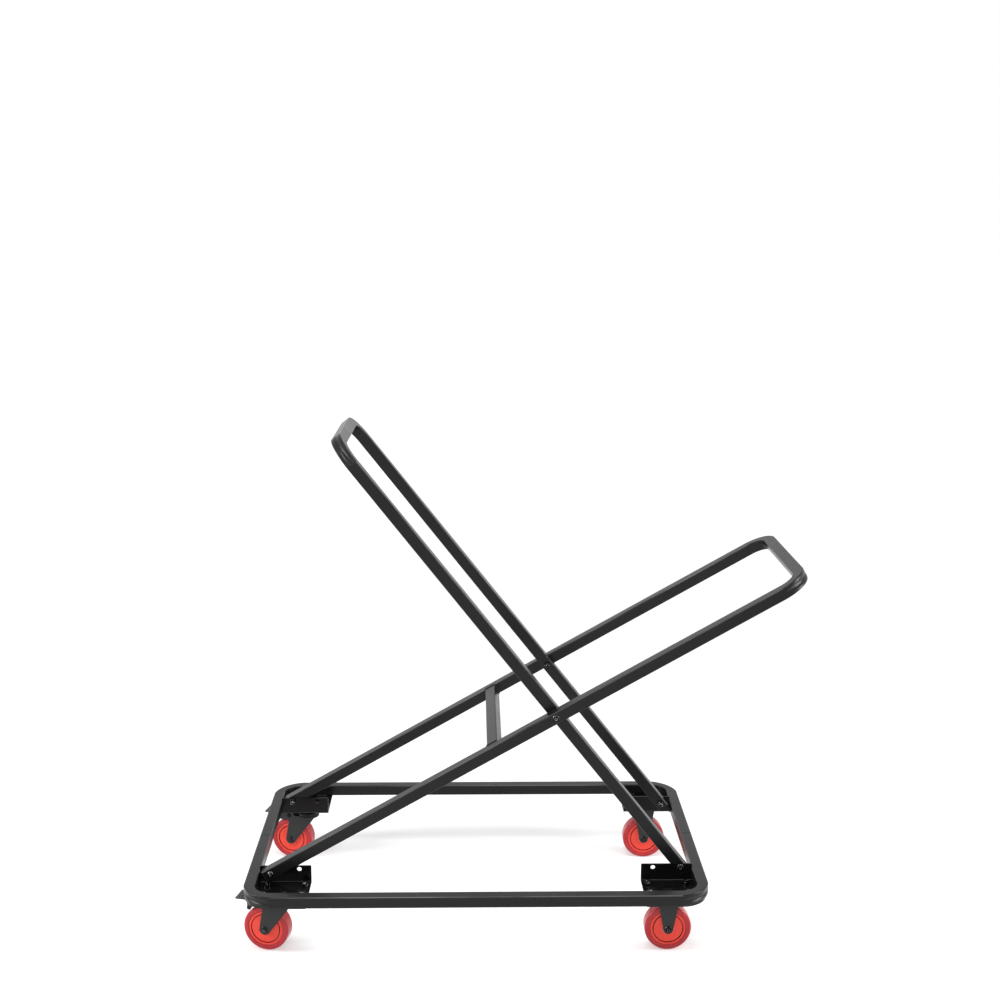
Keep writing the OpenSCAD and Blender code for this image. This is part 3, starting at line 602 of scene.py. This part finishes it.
def rivet_arms(corner):
    """Round head rivets that fill the holes in the arms of a braked caster's fork."""
    turn = Matrix.Rotation(-SWIVEL_TURN, 3, "Z")
    low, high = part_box(corner + "_kingpin")
    kingpin = Vector(((low.x + high.x) / 2, (low.y + high.y) / 2, 0.0))
    work = bmesh.new()
    turns = [2 * math.pi * k / RIVET_SIDES for k in range(RIVET_SIDES)]
    for side in (-1, 1):
        rings = []
        for radius, out in RIVET_PROFILE:
            rings.append([work.verts.new(kingpin + turn @ Vector((
                RIVET_PLACE[0] + radius * math.cos(t), side * out,
                RIVET_PLACE[1] + radius * math.sin(t)))) for t in turns])
        for ring, following in zip(rings, rings[1:]):
            join_rings(work, ring, following)
        work.faces.new(rings[0])
        work.faces.new(rings[-1])
    mesh = close_mesh(work, corner + "_arm_rivets", [f for f in work.faces if len(f.verts) == 4])
    show(corner + "_arm_rivets", mesh, body_of(corner + "_fork"), "dark_bolt")


def add_bead(work, path, radius, pitch, closed):
    """Round bead with ripples along a path, buried by half in the corner that it fills."""
    turns = [2 * math.pi * k / BEAD_SIDES for k in range(BEAD_SIDES)]
    rings = []
    run = 0.0
    for i, point in enumerate(path):
        before = path[i - 1] if closed or i else point
        after = path[(i + 1) % len(path)] if closed or i + 1 < len(path) else point
        ahead = (after - before).normalized()
        across = across - ahead * across.dot(ahead) if rings else ahead.orthogonal()
        across.normalize()
        up = ahead.cross(across)
        run += (point - path[i - 1]).length if i else 0.0
        from_end = min(i, len(path) - 1 - i) / BEAD_TIP_RINGS
        ends = 1.0 if closed else min(1.0, BEAD_TIP + (1 - BEAD_TIP) * from_end)
        swell = radius * ends * (1 + BEAD_RIPPLE * math.cos(2 * math.pi * run / pitch))
        rings.append([work.verts.new(point + swell * (across * math.cos(t) + up * math.sin(t)))
                      for t in turns])
    for ring, following in zip(rings, rings[1:]):
        join_rings(work, ring, following)
    if closed:
        join_rings(work, rings[-1], rings[0])
    else:
        work.faces.new(rings[0][::-1])
        work.faces.new(rings[-1])


def show_beads(name, paths, bead, closed, slot="frame_paint"):
    """One piece of weld beads on the frame, given the radius and pitch of a bead."""
    work = bmesh.new()
    for path in paths:
        add_bead(work, path, *bead, closed)
    show(name, close_mesh(work, name, work.faces), body_of("handle_cross_bar"), slot)


def tube_outline(side_steps):
    """Points round the tube's section, with rounded corners and sides in a number of steps."""
    reach = TUBE / 2 - TUBE_ROUND
    points = []
    for quarter in range(4):
        turn = Matrix.Rotation(quarter * math.pi / 2, 2)
        arc = [Vector((reach + TUBE_ROUND * math.cos(a), reach + TUBE_ROUND * math.sin(a)))
               for a in (math.pi / 2 * k / ROUND_STEPS for k in range(ROUND_STEPS + 1))]
        side = [Vector((reach * (1 - 2 * k / side_steps), TUBE / 2)) for k in range(1, side_steps)]
        points += [turn @ p for p in arc + side]
    return points


def weld_cross_bar():
    """Fillet welds all round both ends of the cross bar."""
    low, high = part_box("handle_cross_bar")
    centre = (low + high) / 2
    lean = Matrix.Rotation(-HANDLE_LEAN, 3, "Y")
    paths = []
    for y in (low.y, high.y):
        inward = CROSS_BAR_OFF if y < centre.y else -CROSS_BAR_OFF
        paths.append([Vector((centre.x, y + inward, centre.z)) + lean @ Vector((p.x, 0.0, p.y))
                      for p in tube_outline(BEAD_SIDE_STEPS)])
    show_beads("cross_bar_welds", paths, CROSS_BAR_BEAD, True)


def weld_brackets():
    """Short welds that hold each bracket's plate to the base tubes, on the inside of the corner."""
    runs = [BRACKET_BEAD_LENGTH * k / BRACKET_STEPS for k in range(BRACKET_STEPS + 1)]
    paths = []
    for corner in CORNERS:
        low, high = tube_box(corner)
        front, left = corner.startswith("front"), corner.endswith("left")
        rail_y = low.y + TUBE if front else high.y - TUBE
        rail_x = low.x + TUBE if left else high.x - TUBE
        inward = 1 if left else -1
        for start in BRACKET_BEAD_STARTS:
            paths.append([Vector((rail_x + inward * (start + run), rail_y, low.z)) for run in runs])
        away = 1 if front else -1
        paths.append([Vector((rail_x, rail_y + away * (BRACKET_SIDE_START + run), low.z))
                      for run in runs])
    show_beads("bracket_welds", paths, BRACKET_BEAD, False)


def weld_flanges():
    """Upright welds that join the end of each bracket's flange to the side rail."""
    paths = []
    for corner in CORNERS:
        low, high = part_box(corner + "_bracket")
        tube_low, tube_high = tube_box(corner)
        x = tube_low.x + TUBE if corner.endswith("left") else tube_high.x - TUBE
        y = high.y - SHEET if corner.startswith("front") else low.y + SHEET
        rise = tube_high.z - tube_low.z - TUBE_ROUND
        paths.append([Vector((x, y, tube_low.z + rise * k / FLANGE_STEPS))
                      for k in range(FLANGE_STEPS + 1)])
    show_beads("flange_welds", paths, FLANGE_BEAD, False, "bracket_paint")


def seam_bands():
    """Dark seams where the two halves of the base meet."""
    work = bmesh.new()
    depth = work.faces.layers.float.new(SEAM_DEPTH)
    low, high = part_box("base_front_tube")
    middle = (low.z + high.z) / 2
    outline = [p * (1 + SEAM_PROUD / p.length) for p in tube_outline(SEAM_SIDE_STEPS)]
    for x in (low.x + TUBE / 2, high.x - TUBE / 2):
        rings = [[work.verts.new((x + p.x, y, middle + p.y)) for p in outline]
                 for y in (-SEAM_HALF_WIDTH, SEAM_HALF_WIDTH)]
        for face in join_rings(work, *rings):
            face[depth] = 1.0
    show("base_seams", close_mesh(work, "base_seams"), body_of("base_front_tube"), "black_plastic")


def make_camera():
    data = bpy.data.cameras.new("camera")
    data.lens = LENS_MM
    camera = bpy.data.objects.new("camera", data)
    bpy.context.scene.collection.objects.link(camera)
    ahead = Vector((math.sin(YAW) * math.cos(PITCH), math.cos(YAW) * math.cos(PITCH), -math.sin(PITCH)))
    level = Vector((math.cos(YAW), -math.sin(YAW), 0.0))
    upright = level.cross(ahead)
    right = level * math.cos(ROLL) + upright * math.sin(ROLL)
    up = upright * math.cos(ROLL) - level * math.sin(ROLL)
    eye = EYE + Vector((base_middle(), 0.0, 0.0))
    camera.matrix_world = Matrix((right, up, -ahead)).transposed().to_4x4()
    camera.location = eye
    bpy.context.scene.camera = camera


def seen_directly(tree):
    """1 for rays that show the backdrop: from the camera, in reflections and through clear pieces."""
    path = tree.add("LightPath").outputs
    mirrored = tree.math("MAXIMUM", path["Is Glossy Ray"], path["Is Transmission Ray"])
    return tree.math("MAXIMUM", path["Is Camera Ray"], mirrored)


def make_floor():
    """Pale floor that is lifted to white where it is seen and keeps the shadow."""
    half = FLOOR_SIZE / 2
    mesh = bpy.data.meshes.new("floor")
    corners = [(-half, -half, 0), (half, -half, 0), (half, half, 0), (-half, half, 0)]
    mesh.from_pydata(corners, [], [range(4)])
    floor = bpy.data.objects.new("floor", mesh)
    bpy.context.scene.collection.objects.link(floor)
    floor.location.z = cad_box[0].z - FLOOR_DROP
    finish = Finish("pale_floor", Roughness=0.9, IOR=1.2)
    finish.surface.inputs["Base Color"].default_value = FLOOR_COLOUR
    finish.surface.inputs["Emission Color"].default_value = (1, 1, 1, 1)
    tree = finish.tree
    away = tree.add("VectorMath", {0: tree.add("TexCoord").outputs["Object"]}, operation="LENGTH")
    lift = tree.span(away.outputs["Value"], NEAR_REACH, FAR_REACH, NEAR_LIFT, FAR_LIFT)
    finish.set("Emission Strength", tree.math("MULTIPLY", seen_directly(tree), lift))
    mesh.materials.append(finish.material)


def make_sky():
    """White surroundings where they are seen, and an even fill light elsewhere."""
    world = bpy.data.worlds.new("studio")
    world.use_nodes = True
    bpy.context.scene.world = world
    tree = Tree(world.node_tree)
    background = world.node_tree.nodes["Background"]
    background.inputs["Color"].default_value = (1, 1, 1, 1)
    tree.feed(background.inputs["Strength"], tree.between(seen_directly(tree), SKY_FILL, 1.0))


def make_lamp(name, place, target, width, height, power):
    """Softbox aimed at a point."""
    data = bpy.data.lights.new(name, "AREA")
    data.shape = "RECTANGLE"
    data.size = width
    data.size_y = height
    data.energy = power
    lamp = bpy.data.objects.new(name, data)
    bpy.context.scene.collection.objects.link(lamp)
    lamp.location = place
    lamp.rotation_euler = (Vector(target) - Vector(place)).to_track_quat("-Z", "Y").to_euler()


def make_studio():
    make_camera()
    make_floor()
    make_sky()
    for lamp in LAMPS:
        make_lamp(*lamp)
    bpy.context.scene.view_settings.view_transform = "Standard"


paint_nodes()
for corner in CORNERS:
    ease_edges(corner + "_bracket", SHEET_EASE)
    ease_edges(corner + "_wheel_core", HUB_EASE, mark_hub(corner))
    ease_edges(corner + "_axle_bolt", FASTENER_EASE)
    ease_edges(corner + "_axle_nut", FASTENER_EASE)
for corner in LEFT_CORNERS:
    ease_edges(corner + "_fork", SHEET_EASE)
    ease_edges(corner + "_brake_pedal", PEDAL_EASE, mark_foot_wear)
    ease_edges(corner + "_caster_plate", SHEET_EASE)
    rivet_arms(corner)
for corner in RIGHT_CORNERS:
    ease_edges(corner + "_fork", SHEET_EASE, mark_plate_top)
for fasteners in ("pivot_bolts", "pivot_nuts"):
    ease_edges(fasteners, FASTENER_EASE)
# Painted glints on these fasteners.
for fasteners in ("bracket_bolts", "bracket_nuts", "caster_bolts", "caster_nuts"):
    ease_edges(fasteners, FASTENER_EASE, mark_painted_glints)
# Painted highlight along the upper edges of the tubes.
for node in ("base_front_tube", "base_rear_tube"):
    paint_upper_edge_highlights(node, Vector((0.0, 0.0, 1.0)))
paint_upper_edge_highlights("handle_frame", Vector((-math.sin(HANDLE_LEAN), 0.0, math.cos(HANDLE_LEAN))))
paint_upper_edge_highlights("back_frame", Vector((math.sin(BACK_LEAN), 0.0, math.cos(BACK_LEAN))))
weld_cross_bar()
weld_brackets()
weld_flanges()
seam_bands()
make_studio()
